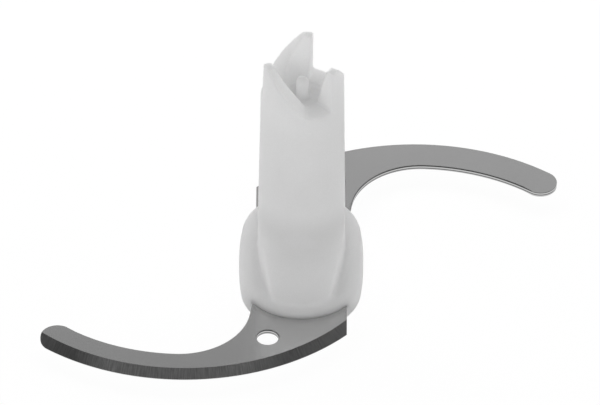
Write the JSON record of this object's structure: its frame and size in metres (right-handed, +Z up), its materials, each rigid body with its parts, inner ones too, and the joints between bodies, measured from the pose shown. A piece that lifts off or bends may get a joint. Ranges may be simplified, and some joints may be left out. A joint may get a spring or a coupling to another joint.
{
  "type": "blender blade",
  "caption": "S-shaped flat steel chopping blade moulded into a tall plastic hub with a toothed drive crown, which stands on its rounded base over a spindle.",
  "frame": {"origin": "middle of the hub's flat underside, on the hub's axis", "axes": "+Z up along the hub's axis, +X along the blade's longest extent, -Y towards the arm whose bevel is on top"},
  "size_m": [0.1474, 0.103, 0.0794],
  "materials": {
    "hub_plastic": "satin milky white moulding",
    "blade_steel": "fine satin with a ground bevel"
  },
  "bodies": {
    "root": {"hub": "hub_plastic", "blade": "blade_steel"}
  },
  "joints": []
}
